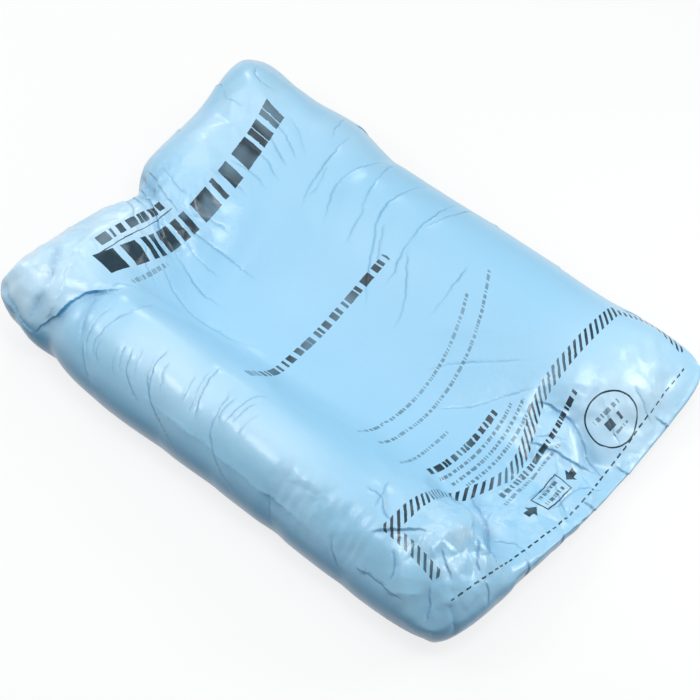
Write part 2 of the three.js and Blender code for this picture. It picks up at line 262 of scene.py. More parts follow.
creaseSettings = {
    "sampleMm": 1.0,
    "fineWithinMm": 3.5,
    "finer": [(2.5, 2), (1.0, 1)],  # faces over this area in square mm are cut this often
    "runIn": 0.2,
    "runOut": 0.3,
    "wobbleMm": 1.3,
    # chance along a line: waves in each mm, shift between lines, layer and share
    "wobble": [(0.11, 7.3, 0.5, 1.0), (0.31, 5.9, 2.5, 0.5)],
    "strength": (0.045, 3.1, 4.5, 0.7),
    "carried": (5, 3),  # a fold is carried to this many times its reach, and this many mm more
    "dropMm": 1.1,  # half the width of a tuck's drop
    "tuck": (0.6, 0.5, 2),  # height of its lip, depth of its foot, and how much sooner the foot ends
    "hair": (0.6, 0.35, 3),  # share of the reach, height of its banks, and how much further they reach
    # how much painted shade each mm of height puts on the fold, and how far from its line, in mm
    "shade": {"tuck": (0.42, 0.9), "hair": (0.42, 0.9), "valley": (0.09, 6), "ridge": (0, 1)},
    # most painted shade on a fold
    "mostPaintedFoldShade": 0.5,
    # a tuck is a lip with a sharp drop beside it, a hair is a thin valley with low banks, a valley is
    # broad, and a ridge stands up. kind, height in mm, reach in mm, then places on the flat film in mm
    "lines": [
        # left rim, from the ear to the sealed end
        ("tuck", 1.9, 9, [
            (-134, -112), (-131, -138), (-138, -156), (-143, -178), (-143, -194), (-134, -207)]),
        ("tuck", 1.1, 6, [(-130, -142), (-138, -161), (-141, -176)]),
        ("hair", 0.8, 2, [(-137, -185), (-138, -197), (-130, -209)]),
        ("hair", 0.8, 2, [(-150, -150), (-154, -176), (-150, -200), (-138, -216)]),
        ("tuck", 1.2, 6, [(-106, -176), (-102, -193), (-97, -202), (-85, -212), (-76, -219)]),
        ("hair", 0.7, 2, [(-113, -178), (-110, -193), (-104, -205)]),
        ("hair", 0.6, 2, [(-98, -172), (-95, -188), (-89, -200)]),
        ("hair", 0.6, 2, [(-119, -184), (-116, -199), (-108, -211)]),
        ("tuck", 1.9, 9, [(-80, -156), (-79, -177), (-75, -194), (-69, -206), (-58, -219), (-26, -243)]),
        ("tuck", 1.0, 5, [(-86, -168), (-82, -185), (-76, -199), (-66, -211)]),
        ("hair", 0.7, 2, [(-70, -168), (-66, -186), (-58, -202)]),
        ("tuck", 1.7, 8, [(-32, -142), (-30, -158), (-26, -175), (-20, -189), (-17, -203)]),
        ("tuck", 1.0, 5, [(-37, -150), (-33, -168), (-28, -186), (-25, -201)]),
        ("hair", 0.8, 2, [(-43, -164), (-39, -181), (-36, -198)]),
        ("tuck", 1.9, 9, [(-6, -158), (-2, -181), (0, -196), (5, -206), (22, -223), (46, -245)]),
        ("hair", 0.8, 2, [(3, -160), (2, -178), (6, -194)]),
        ("tuck", 1.3, 6, [(24, -136), (15, -152), (12, -167), (11, -181), (9, -193)]),
        ("hair", 0.8, 2, [(22, -152), (18, -168), (18, -185)]),
        ("hair", 0.6, 2, [(31, -160), (28, -176), (30, -192)]),
        # left wall
        ("tuck", 2.2, 8, [(-154, -196), (-147, -214), (-138, -230), (-129, -244)]),
        ("tuck", 1.8, 7, [(82, -216), (87, -234), (91, -248)]),
        ("tuck", 1.6, 7, [(152, -212), (166, -230), (180, -246)]),
        ("tuck", 1.6, 7, [(186, -223), (206, -217), (222, -215), (243, -209)]),
        ("ridge", 0.7, 3, [(-102, -211), (-26, -213), (61, -218), (107, -219), (196, -219)]),
        # right and rolled-end walls
        ("tuck", 1.6, 7, [(-152, 192), (-147, 208), (-140, 226)]),
        ("tuck", 1.3, 6, [(-62, 196), (-55, 212), (-52, 228)]),
        ("tuck", 1.6, 7, [(28, 196), (35, 212), (33, 230)]),
        ("tuck", 1.4, 6, [(112, 196), (105, 212), (108, 232)]),
        ("tuck", 1.6, 7, [(186, 188), (198, 204), (212, 220)]),
        ("tuck", 1.5, 7, [(-262, -98), (-280, -104), (-299, -108)]),
        ("tuck", 1.3, 6, [(-264, 58), (-281, 64), (-300, 61)]),
        ("tuck", 1.5, 7, [(-262, 118), (-284, 125), (-302, 120)]),
        # ear and the tuck under it
        ("tuck", 4.2, 12, [(-224, -218), (-199, -189), (-192, -170), (-186, -151), (-160, -122)]),
        ("valley", 5.0, 9, [(-246, -122), (-224, -155), (-220, -181), (-228, -208)]),
        ("ridge", 3.5, 8, [(-223, -116), (-208, -157), (-206, -184), (-214, -206)]),
        ("ridge", 3.0, 9, [(-280, -188), (-250, -161), (-242, -140), (-230, -112)]),
        ("tuck", 1.6, 8, [(-222, -218), (-243, -208), (-254, -196), (-272, -180)]),
        ("valley", 3.5, 9, [(-178, -146), (-168, -176), (-156, -206)]),
        ("hair", 0.8, 2, [(-176, -132), (-168, -120), (-150, -112)]),
        ("hair", 0.7, 2, [(-184, -150), (-170, -140), (-158, -142)]),
        # pinch over the roll, and the rays that it throws into the dish
        ("tuck", 2.4, 9, [(-286, -6), (-258, -18), (-226, -30), (-187, -44), (-160, -50)]),
        ("valley", 4.5, 9, [(-292, 6), (-252, -13), (-221, -19), (-186, -20)]),
        ("tuck", 1.5, 6, [(-280, -22), (-250, -34), (-222, -40), (-196, -56)]),
        ("tuck", 1.4, 6, [(-272, 8), (-244, -4), (-214, -12), (-178, -14)]),
        ("hair", 1.0, 3, [(-262, -44), (-236, -48), (-210, -62)]),
        ("hair", 1.0, 3, [(-250, 14), (-226, 6), (-200, 4)]),
        ("hair", 0.9, 2, [(-196, -22), (-166, -14), (-130, -8), (-92, -8)]),
        ("hair", 0.9, 2, [(-190, -38), (-160, -44), (-128, -51), (-90, -49)]),
        ("hair", 0.9, 2, [(-184, -56), (-150, -70), (-112, -75), (-80, -72), (-36, -60)]),
        ("hair", 0.7, 2, [(-192, -10), (-170, 4), (-150, 10)]),
        ("hair", 0.7, 2, [(-196, -66), (-172, -80), (-150, -84)]),
        ("hair", 0.6, 2, [(-178, -26), (-152, -30), (-122, -28)]),
        # fan of pleats on the inside of the roll
        ("hair", 0.8, 3, [(-200, 60), (-176, 66), (-150, 64)]),
        ("hair", 0.8, 3, [(-204, 84), (-180, 86), (-146, 78)]),
        ("hair", 0.9, 3, [(-206, 104), (-182, 104), (-150, 92)]),
        ("hair", 0.8, 3, [(-200, 122), (-178, 118), (-148, 104)]),
        ("hair", 0.7, 3, [(-190, 138), (-170, 130), (-146, 114)]),
        ("hair", 0.7, 3, [(-206, 38), (-184, 46), (-160, 46)]),
        ("hair", 0.8, 3, [(-262, 118), (-248, 108), (-226, 112)]),
        ("hair", 0.8, 3, [(-250, 152), (-236, 142), (-216, 148)]),
        ("hair", 0.7, 2, [(-240, 190), (-226, 176), (-222, 160)]),
        # right rim
        ("hair", 0.8, 2, [(-160, 186), (-153, 164), (-144, 146)]),
        ("hair", 0.9, 2, [(-140, 170), (-134, 150), (-122, 92), (-112, 70)]),
        ("hair", 0.7, 2, [(-126, 124), (-118, 100), (-116, 84)]),
        ("hair", 1.0, 2, [(-86, 184), (-96, 164), (-102, 142), (-103, 108), (-82, 70)]),
        ("hair", 1.0, 2, [(-78, 182), (-84, 168), (-74, 128), (-62, 98), (-52, 62)]),
        ("hair", 1.1, 2, [(-40, 184), (-48, 160), (-50, 118), (-32, 86), (-14, 56), (8, 26)]),
        ("hair", 0.7, 2, [(-40, 112), (-24, 84), (-10, 66)]),
        ("hair", 1.1, 2, [(-8, 182), (-9, 134), (-6, 102), (2, 76), (4, 56)]),
        ("hair", 1.0, 2, [(8, 188), (2, 160), (-6, 126)]),
        ("hair", 0.9, 2, [(-6, 104), (22, 70), (36, 44), (38, 26)]),
        ("hair", 0.8, 2, [(54, 124), (56, 94), (59, 58)]),
        ("hair", 0.8, 2, [(88, 16), (102, 34), (124, 54), (160, 84)]),
        ("hair", 0.9, 2, [(116, -8), (132, 4), (147, 20), (164, 45), (184, 72)]),
        # sealed end: the valleys beside its sunken middle, its crumples and its pleats
        ("tuck", 2.8, 9, [
            (196, -46), (210, -53), (225, -61), (238, -72), (250, -92), (263, -112), (288, -116)]),
        ("tuck", 2.4, 8, [(184, 56), (206, 64), (237, 63), (264, 52), (290, 48)]),
        ("valley", 3.4, 8, [(196, -44), (225, -60), (250, -92), (274, -118)]),
        ("valley", 2.4, 7, [(190, 58), (230, 64), (262, 53), (292, 47)]),
        ("tuck", 2.2, 7, [(204, 24), (217, 28), (237, 33), (258, 40), (284, 54)]),
        ("hair", 1.4, 3, [(238, 26), (248, 16), (249, -1), (243, -26)]),
        ("ridge", 1.8, 6, [(210, -28), (228, -21), (242, -24), (258, -29)]),
        ("tuck", 1.8, 6, [(290, 42), (273, 20), (268, 6), (269, -8), (265, -30)]),
        ("hair", 1.2, 3, [(244, 14), (253, 7), (264, -1), (284, -14)]),
        ("hair", 1.4, 3, [(246, -96), (265, -79), (274, -77), (290, -79)]),
        ("ridge", 1.4, 5, [(214, -44), (232, -50), (250, -62), (266, -64)]),
        ("hair", 1.0, 2, [(208, 30), (222, 42), (236, 46)]),
        ("ridge", 1.2, 4, [(210, 106), (232, 99), (250, 91)]),
        ("ridge", 1.1, 4, [(214, 112), (240, 103), (264, 92)]),
        ("hair", 1.0, 3, [(236, 96), (256, 88), (278, 78)]),
        ("ridge", 1.0, 4, [(230, 119), (248, 114), (268, 110)]),
        ("ridge", 1.0, 4, [(232, 141), (250, 139), (274, 136)]),
        ("ridge", 0.9, 4, [(248, 148), (266, 144), (282, 141)]),
        ("hair", 1.0, 3, [(240, 128), (262, 124), (284, 120)]),
        # left lobe of the sealed end
        ("hair", 1.6, 4, [(146, -155), (163, -156), (173, -163), (182, -169), (196, -168)]),
        ("hair", 1.2, 3, [(158, -136), (165, -156), (168, -170)]),
        ("tuck", 2.2, 7, [(181, -188), (200, -170), (207, -162), (224, -153)]),
        ("ridge", 2.2, 6, [(220, -158), (236, -167), (247, -171), (264, -178)]),
        ("tuck", 1.8, 6, [(232, -157), (244, -163), (258, -168)]),
        ("ridge", 1.8, 6, [(224, -130), (237, -140), (250, -148), (264, -154)]),
        ("tuck", 2.0, 6, [(244, -124), (256, -133), (263, -139), (272, -143)]),
        ("ridge", 1.6, 6, [(206, -96), (226, -102), (246, -112), (260, -124)]),
        ("tuck", 2.0, 6, [(248, -182), (255, -190), (261, -196), (270, -207)]),
        ("ridge", 1.4, 5, [(220, -218), (236, -206), (253, -190)]),
        ("hair", 1.1, 3, [(204, -186), (216, -194), (224, -208)]),
        ("tuck", 1.4, 6, [(275, -141), (286, -143), (300, -150)]),
        ("tuck", 1.4, 6, [(284, -84), (298, -86), (312, -88)]),
        ("tuck", 1.4, 6, [(288, -34), (300, -34), (312, -34)]),
        # gathers along the seal
        ("valley", 2.6, 8, [(266, -180), (288, -187), (308, -193)]),
        ("tuck", 2.0, 7, [(280, 10), (296, 12), (312, 13)]),
        ("tuck", 2.0, 7, [(280, 66), (296, 68), (312, 70)]),
        ("tuck", 1.8, 7, [(276, 128), (292, 132), (308, 136)]),
    ],
}


# a smooth line through a few points, sampled evenly
def sampleLine(points, step):
    points = np.array(points, float)
    ends = np.vstack([2 * points[0] - points[1], points, 2 * points[-1] - points[-2]])
    drawn = []
    for a, b, c, d in zip(ends[:-3], ends[1:-2], ends[2:-1], ends[3:]):
        for t in np.arange(0, 1, step / max(np.linalg.norm(c - b), step)):
            drawn.append(0.5 * (2 * b + (c - a) * t + (2 * a - 5 * b + 4 * c - d) * t * t
                                + (3 * b - a - 3 * c + d) * t ** 3))
    return np.array(drawn + [points[-1]])


# how far each place is from a crease, to its left as a plus, and how far along it
def alongCrease(places, points, reach, settings):
    line = sampleLine(points, settings["sampleMm"])
    near = np.all((places > line.min(axis=0) - reach) & (places < line.max(axis=0) + reach), axis=1)
    near = np.flatnonzero(near)
    gaps = np.linalg.norm(places[near, None] - line[None], axis=2)
    closest = gaps.argmin(axis=1)
    heading = np.gradient(line, axis=0)
    heading /= np.linalg.norm(heading, axis=1)[:, None]
    offset = places[near] - line[closest]
    side = heading[closest, 0] * offset[:, 1] - heading[closest, 1] * offset[:, 0]
    distance = np.where(side < 0, -1, 1) * gaps[np.arange(len(near)), closest]
    inside = np.abs(distance) < reach
    return near[inside], distance[inside], closest[inside], len(line)


# soft chance along a line, different for each line
def chanceAlong(length, number, wave):
    pace, shift, layer, share = wave
    return np.array([share * noise.noise((pace * n, shift * number, layer)) for n in range(length)])


# draws each crease as a fold in the film, and marks painted shade along it
def creaseFilm(bag, settings):
    # the mesh is made finer along the creases
    for area, cuts in settings["finer"]:
        places = filmPlaces(bag, bagSettings)
        fine = np.zeros(len(places), bool)
        for *_, points in settings["lines"]:
            fine[alongCrease(places, points, settings["fineWithinMm"], settings)[0]] = True
        cutFaces(bag, fine, area, cuts)

    places = filmPlaces(bag, bagSettings)
    lift = np.zeros(len(places))
    shade = np.zeros(len(places))
    for number, (kind, height, reach, points) in enumerate(settings["lines"]):
        times, more = settings["carried"]
        near, distance, along, length = alongCrease(places, points, times * reach + more, settings)
        wobble = sum(chanceAlong(length, number, wave) for wave in settings["wobble"])
        strength = 1 + chanceAlong(length, number, settings["strength"])
        distance = distance + settings["wobbleMm"] * wobble[along]
        share = along / max(length - 1, 1)
        taper = ease(share / settings["runIn"]) * ease((1 - share) / settings["runOut"]) * strength[along]
        away = np.abs(distance)
        if kind == "tuck":
            lip, foot, sooner = settings["tuck"]
            step = ease((distance + settings["dropMm"]) / (2 * settings["dropMm"]))
            shape = step * lip * np.exp(-away / reach) - (1 - step) * foot * np.exp(-sooner * away / reach)
        elif kind == "hair":
            narrow, bank, further = settings["hair"]
            shape = -np.exp(-away / (narrow * reach)) + bank * np.exp(-(away / (further * reach)) ** 2)
        elif kind == "valley":
            shape = -np.exp(-away / reach)
        else:
            shape = np.exp(-away / reach)
        lift[near] += height * taper * shape
        darker, width = settings["shade"][kind]
        shade[near] = np.maximum(shade[near], darker * height * taper * np.exp(-(distance / width) ** 2))
    writePoints(bag, readPoints(bag) + readNormals(bag) * (lift * millimetre)[:, None])
    doubled = bag.data.attributes.new("doubled", "FLOAT", "POINT")  # painted shade along the folds
    doubled.data.foreach_set("value", np.clip(shade, 0, settings["mostPaintedFoldShade"]).astype(np.float32))
    print("film creased:", len(settings["lines"]), "lines,", len(places), "vertices")


crumpleSettings = {
    # middle, reach and height of each crumpled place on the flat film, in mm
    "zones": [
        (240, -135, 52, 62, 1.0),  # left lobe of the sealed end
        (250, -20, 42, 60, 0.9),  # its sunken middle
        (250, 120, 40, 55, 0.3),
        (-225, -40, 50, 80, 0.8),  # roll beside the pinch
        (-250, -150, 45, 40, 0.5),  # ear
        (130, -196, 70, 24, 0.45),  # outside of the left rim
        (-225, 120, 50, 60, 0.35),
    ],
    # spacing of the facets' corners and the height of their scatter, in mm, and share of their tone
    "facets": [(24, 9.0, 0.24), (11, 3.2, 0.2)],
    "scatter": 0.45,  # share of the spacing that a corner may stray
    "tops": (0.5, 1.0),  # a corner goes up or down by half the height, times a chance in this range
    "mergeMm": 0.001,
    "fineFrom": 0.3,
    "crumpledFrom": 0.04,
    "seed": 7,
    # short pleats across the outside of the left rim: from, to, middle, reach, wavelength, height
    "pleats": (70, 205, -204, 20, 11, 0.6),
    "pleatRunMm": 30,  # they fade out over this length at both ends
    "wanderMm": 60,
    "wanderLayer": 1.7,
    "wander": 1.2,
    "softMm": 55,
    "softLayer": 9.1,
    "softHeight": 0.5,
}


# how far each place lies in the zones, the middle of a zone counting as its share
def zoneWeight(places, zones):
    weight = np.zeros(len(places))
    for u, v, reachU, reachV, share in zones:
        away = ((places[:, 0] - u) / reachU) ** 2 + ((places[:, 1] - v) / reachV) ** 2
        weight = np.maximum(weight, share * np.exp(-away))
    return weight


# soft chance over the film, with patches of a size in mm, different on each layer
def chanceOver(places, size, layer):
    return np.array([noise.noise((u / size, v / size, layer)) for u, v in places])


# heights of places on a sheet of flat facets between scattered corners, and a chance tone for each facet
def facetHeights(places, spacing, draw, settings):
    lowest, highest = places.min(axis=0) - 2 * spacing, places.max(axis=0) + 2 * spacing
    columns, rows = np.meshgrid(
        np.arange(lowest[0], highest[0], spacing), np.arange(lowest[1], highest[1], spacing))
    corners = np.stack([columns.ravel(), rows.ravel()], axis=1)
    corners += draw.uniform(-settings["scatter"], settings["scatter"], corners.shape) * spacing
    tops = draw.choice([-0.5, 0.5], len(corners)) * draw.uniform(*settings["tops"], len(corners))
    # the third result is the triangles between the corners
    triangles = delaunay_2d_cdt([Vector(corner) for corner in corners], [], [], 0, settings["mergeMm"])[2]
    tones = draw.uniform(-1, 1, len(triangles))
    heights = np.zeros(len(places))
    tone = np.zeros(len(places))
    order = np.argsort(places[:, 0])
    sortedU = places[order, 0]
    for number, (a, b, c) in enumerate(triangles):
        first, last = np.searchsorted(sortedU, [corners[[a, b, c], 0].min(), corners[[a, b, c], 0].max()])
        inReach = order[first:last]
        if len(inReach) == 0:
            continue
        sides = np.stack([corners[b] - corners[a], corners[c] - corners[a]], axis=1)
        shares = np.linalg.solve(sides, (places[inReach] - corners[a]).T)
        inside = (shares[0] >= 0) & (shares[1] >= 0) & (shares.sum(axis=0) <= 1)
        sloped = tops[a] + shares[0] * (tops[b] - tops[a]) + shares[1] * (tops[c] - tops[a])
        heights[inReach[inside]] = sloped[inside]
        tone[inReach[inside]] = tones[number]
    return heights, tone


# film that was squeezed and let go: flat facets of two sizes, with sharp edges
def crumpleFilm(bag, settings):
    # the mesh is made finer where the film is crumpled
    fine = zoneWeight(filmPlaces(bag, bagSettings), settings["zones"]) > settings["fineFrom"]
    cutFaces(bag, fine, 0, 1)

    places = filmPlaces(bag, bagSettings)
    onFilm = np.flatnonzero(places[:, 0] < bagSettings["farAway"] / 2 / millimetre)
    film = places[onFilm]
    weight = zoneWeight(film, settings["zones"])
    lift = np.zeros(len(film))
    crumpled = np.flatnonzero(weight > settings["crumpledFrom"])
    standOff = np.zeros(len(places))
    draw = np.random.default_rng(settings["seed"])
    for spacing, height, share in settings["facets"]:
        heights, tone = facetHeights(film[crumpled], spacing, draw, settings)
        lift[crumpled] += height * weight[crumpled] * heights
        standOff[onFilm[crumpled]] += share * weight[crumpled] * tone
    first, last, middle, reach, length, height = settings["pleats"]
    wander = chanceOver(film, settings["wanderMm"], settings["wanderLayer"])
    run = settings["pleatRunMm"]
    span = ease((film[:, 0] - first) / run) * ease((last - film[:, 0]) / run)
    span *= np.exp(-((film[:, 1] - middle) / reach) ** 2)
    phase = film[:, 0] / length + settings["wander"] * wander
    saw = 4 * np.abs(phase - np.floor(phase + 0.5)) - 1
    lift += height * span * (1 + wander) * saw
    lift += settings["softHeight"] * chanceOver(film, settings["softMm"], settings["softLayer"])
    points = readPoints(bag)
    points[onFilm] += readNormals(bag)[onFilm] * (lift * millimetre)[:, None]
    writePoints(bag, points)
    # facets stand off the foam, or lie on it, by chance
    attribute = bag.data.attributes.new("standOff", "FLOAT", "POINT")
    attribute.data.foreach_set("value", standOff.astype(np.float32))
    print("film crumpled over", len(crumpled), "vertices")


shadeSheenAndMilkSettings = {
    "steepFrom": 0.5,  # upward part of the normal
    "steepOver": 0.5,
    # painted sheen, whiter film where highlights fall: middle u, v, reach and share
    "loose": [
        (-60, -172, 100, 32, 0.58),  # top of the left rim
        (40, -172, 80, 26, 0.48),
        (-228, -75, 42, 60, 0.85),  # roll beside the pinch
        (-228, 95, 40, 80, 0.55),  # and beyond it
        (-245, -150, 60, 60, 0.95),  # ear
        (248, 110, 48, 75, 0.85),  # right half of the sealed end
        (232, -78, 22, 26, 0.70),  # flank of its left lobe
        (250, 0, 45, 55, 0.25),
        (225, -140, 50, 40, 0.25),
        (-120, 165, 80, 30, 0.20),  # right rim
    ],
    "patchMm": 70,  # and a milky tone, a little and by chance, everywhere
    "patchLayer": 5.3,
    "patchShare": 0.16,
}


# marks steep film below the rims for painted shade, and paints sheen where highlights fall, with a milky
# tone that differs at random
def markShadeSheenAndMilk(bag, settings):
    # painted shade: film facing down or sideways, on the walls and the drops of the tucks, gets a deeper
    # blue
    steep = ease((settings["steepFrom"] - readNormals(bag)[:, 2]) / settings["steepOver"])
    standOff = np.empty(len(steep), np.float32)
    bag.data.attributes["standOff"].data.foreach_get("value", standOff)
    places = filmPlaces(bag, bagSettings)
    patches = chanceOver(places, settings["patchMm"], settings["patchLayer"])
    # painted sheen where highlights fall, plus a milky tone that differs at random by facet and patch
    loose = zoneWeight(places, settings["loose"]) + standOff + settings["patchShare"] * patches
    loose = np.clip(loose, 0, 1)
    for name, values in (("steep", steep), ("loose", loose)):
        attribute = bag.data.attributes.new(name, "FLOAT", "POINT")
        attribute.data.foreach_set("value", values.astype(np.float32))
    print("film loose over a share of", round(float(loose.mean()), 2))


thinSettings = {
    "mostTriangles": 196000,
}


# smooth stretches need few faces, so the mesh is thinned there and stays fine at its folds
def thinBag(bag, settings):
    bag.data.calc_loop_triangles()
    before = len(bag.data.loop_triangles)
    thinner = bag.modifiers.new("thinner", "DECIMATE")
    thinner.ratio = min(1, settings["mostTriangles"] / before)
    bpy.ops.object.modifier_apply(modifier=thinner.name)
    bag.data.calc_loop_triangles()
    print("bag thinned from", before, "to", len(bag.data.loop_triangles), "triangles")


printSettings = {
    # boxes on the flat film are middle u, v and half sides, in mm
    "frame": [(182, 1, 6, 176), (207, -175, 31, 5)],  # striped frame round the sealed end
    "frameSide": (214, 199, 38, 4.5),
    "stripes": (7.6, 0.45),  # its slanted stripes: spacing and share of ink
    "dip": (32, -6, 54),  # drawn towards the end over its sunken middle: how far, middle and reach
    "lean": (10, -60, -125),  # and over its left lobe: how far, from and to
    "sway": (22, 178, 218),  # its right side bends in at the corner: how far, from and to
    "endLine": (281, -12, 0.00045, 0.8),  # bowed line: place, middle, bow, half side
    "dashes": (9, 0.6, 3, 181),  # spacing, share of ink, middle and half length of the line
    "bowMiddle": -10,
    # rows of small bars: middle u, v, half height, half length, bow, bar spacing, strength
    "rows": [
        (-184, 8, 12, 128, -0.001, 11, 1.0),  # broad row along the roll
        (-216, -64, 5, 44, 0, 6, 1.0),
        (-166, -84, 2.5, 26, 0, 3, 0.45),
        (-14, -20, 4.5, 104, 0, 5.5, 1.0),  # middle of the dish
        (100, 10, 1.7, 90, -0.0024, 2.6, 0.6),
        (119, 28, 1.7, 102, -0.0024, 2.6, 0.6),
        (145, -50, 1.7, 34, -0.001, 2.6, 0.6),
        (168, -19, 3.4, 46, -0.0024, 4.2, 1.0),
        (179, -8, 1.7, 50, -0.0028, 2.6, 0.65),
        (188, 0, 1.7, 52, -0.0028, 2.6, 0.65),
        (197, 4, 1.7, 48, -0.0028, 2.6, 0.65),
        (233, 0, 1.7, 40, -0.001, 2.6, 0.7),
        (225, 26, 2.8, 62, -0.0018, 3.8, 1.0),
        (252, -3, 1.7, 13, 0, 2.6, 0.8),
        (260, -3, 1.7, 14, 0, 2.6, 0.8),
        (241, 93, 2.2, 15, 0, 3.2, 0.7),
        (252, 93, 4.5, 9, 0, 7, 1.0),
        (262, 93, 1.4, 10, 0, 2.6, 0.6),
    ],
    "rowShift": 17.3,  # keeps the bars of one row unlike those of the next
    "bars": 0.46,
    "ring": (250, 93, 25, 0.8),  # middle, radius, half width
    "panel": (256, -3, 9, 18, 0.6),  # thin box round two of the rows: middle, half sides, half width
    "arrows": [(255, -24, 1), (257, 18, -1)],  # place of the tip and the way that it points
    # length and slope of the head, then middle, half length and half width of the stem
    "arrowShape": (8.0, 0.9, 11.0, 4.0, 3.2),
    "underline": (-206, -64, 0.5, 48),
}


# ink wherever one of the shapes has it
def joinInk(tree, shapes):
    ink = shapes[0]
    for shape in shapes[1:]:
        ink = addNode(tree, "ShaderNodeMath", {"operation": "MAXIMUM"}, {0: ink, 1: shape})
    return ink


# ink inside a box on the flat film
def inkBox(tree, u, v, box):
    middleU, middleV, halfU, halfV = box
    across = addNode(tree, "ShaderNodeMath", {"operation": "COMPARE"}, {0: u, 1: middleU, 2: halfU})
    along = addNode(tree, "ShaderNodeMath", {"operation": "COMPARE"}, {0: v, 1: middleV, 2: halfV})
    return addNode(tree, "ShaderNodeMath", {"operation": "MULTIPLY"}, {0: across, 1: along})


# frame of slanted stripes
def inkFrame(tree, u, v, settings):
    far, middle, reach = settings["dip"]
    side = addNode(tree, "ShaderNodeMath", {"operation": "SUBTRACT"}, {0: v, 1: middle})
    squared = addNode(tree, "ShaderNodeMath", {"operation": "MULTIPLY"}, {0: side, 1: side})
    fall = addNode(tree, "ShaderNodeMath", {"operation": "MULTIPLY"}, {0: squared, 1: -1 / reach ** 2})
    sunken = addNode(tree, "ShaderNodeMath", {"operation": "EXPONENT"}, {0: fall})
    dipped = addNode(tree, "ShaderNodeMath", {"operation": "MULTIPLY_ADD"}, {0: sunken, 1: -far, 2: u})
    far, first, last = settings["lean"]
    lean = addNode(tree, "ShaderNodeMapRange", {"interpolation_type": "SMOOTHSTEP"}, {
        "Value": v, "From Min": first, "From Max": last, "To Max": far})
    along = addNode(tree, "ShaderNodeMath", {"operation": "SUBTRACT"}, {0: dipped, 1: lean})
    far, first, last = settings["sway"]
    sway = addNode(tree, "ShaderNodeMapRange", {"interpolation_type": "SMOOTHSTEP"}, {
        "Value": u, "From Min": first, "From Max": last, "To Min": far, "To Max": 0.0})
    swayed = addNode(tree, "ShaderNodeMath", {"operation": "ADD"}, {0: v, 1: sway})
    bands = [inkBox(tree, along, v, box) for box in settings["frame"]]
    bands.append(inkBox(tree, u, swayed, settings["frameSide"]))
    spacing, share = settings["stripes"]
    slant = addNode(tree, "ShaderNodeMath", {"operation": "ADD"}, {0: along, 1: v})
    turns = addNode(tree, "ShaderNodeMath", {"operation": "DIVIDE"}, {0: slant, 1: spacing})
    turn = addNode(tree, "ShaderNodeMath", {"operation": "FRACT"}, {0: turns})
    striped = addNode(tree, "ShaderNodeMath", {"operation": "LESS_THAN"}, {0: turn, 1: share})
    return addNode(tree, "ShaderNodeMath", {"operation": "MULTIPLY"}, {0: joinInk(tree, bands), 1: striped})


# dashed line along the sealed end
def inkDashes(tree, u, v, settings):
    place, middle, bow, half = settings["endLine"]
    spacing, share, lineMiddle, lineHalf = settings["dashes"]
    side = addNode(tree, "ShaderNodeMath", {"operation": "SUBTRACT"}, {0: v, 1: middle})
    squared = addNode(tree, "ShaderNodeMath", {"operation": "MULTIPLY"}, {0: side, 1: side})
    bowed = addNode(tree, "ShaderNodeMath", {"operation": "MULTIPLY_ADD"}, {0: squared, 1: bow, 2: u})
    line = inkBox(tree, bowed, v, (place, lineMiddle, half, lineHalf))
    turns = addNode(tree, "ShaderNodeMath", {"operation": "DIVIDE"}, {0: v, 1: spacing})
    turn = addNode(tree, "ShaderNodeMath", {"operation": "FRACT"}, {0: turns})
    dashed = addNode(tree, "ShaderNodeMath", {"operation": "LESS_THAN"}, {0: turn, 1: share})
    return addNode(tree, "ShaderNodeMath", {"operation": "MULTIPLY"}, {0: line, 1: dashed})


# rows of bars of unequal length
def inkRows(tree, u, v, settings):
    side = addNode(tree, "ShaderNodeMath", {"operation": "SUBTRACT"}, {0: v, 1: settings["bowMiddle"]})
    squared = addNode(tree, "ShaderNodeMath", {"operation": "MULTIPLY"}, {0: side, 1: side})
    rows = []
    for number, (rowU, rowV, high, long, bow, spacing, strength) in enumerate(settings["rows"]):
        bowed = addNode(tree, "ShaderNodeMath", {"operation": "MULTIPLY_ADD"}, {0: squared, 1: -bow, 2: u})
        row = inkBox(tree, bowed, v, (rowU, rowV, high, long))
        along = addNode(tree, "ShaderNodeMath", {"operation": "MULTIPLY_ADD"}, {
            0: v, 1: 1 / spacing, 2: settings["rowShift"] * number})
        step = addNode(tree, "ShaderNodeTexNoise", {"noise_dimensions": "1D"}, {
            "W": along, "Scale": 1.0, "Detail": 0.0})
        bars = addNode(tree, "ShaderNodeMath", {"operation": "GREATER_THAN"}, {
            0: step.outputs["Fac"], 1: settings["bars"]})
        barred = addNode(tree, "ShaderNodeMath", {"operation": "MULTIPLY"}, {0: row, 1: bars})
        rows.append(addNode(tree, "ShaderNodeMath", {"operation": "MULTIPLY"}, {0: barred, 1: strength}))
    return joinInk(tree, rows)


def inkRing(tree, u, v, ring):
    ringU, ringV, radius, half = ring
    across = addNode(tree, "ShaderNodeMath", {"operation": "SUBTRACT"}, {0: u, 1: ringU})
    along = addNode(tree, "ShaderNodeMath", {"operation": "SUBTRACT"}, {0: v, 1: ringV})
    out = addNode(tree, "ShaderNodeCombineXYZ", None, {"X": across, "Y": along})
    reach = addNode(tree, "ShaderNodeVectorMath", {"operation": "LENGTH"}, {0: out})
    return addNode(tree, "ShaderNodeMath", {"operation": "COMPARE"}, {
        0: reach.outputs["Value"], 1: radius, 2: half})


def inkPanel(tree, u, v, panel):
    middleU, middleV, sideU, sideV, half = panel
    outer = inkBox(tree, u, v, (middleU, middleV, sideU + half, sideV + half))
    inner = inkBox(tree, u, v, (middleU, middleV, sideU - half, sideV - half))
    return addNode(tree, "ShaderNodeMath", {"operation": "SUBTRACT"}, {0: outer, 1: inner})


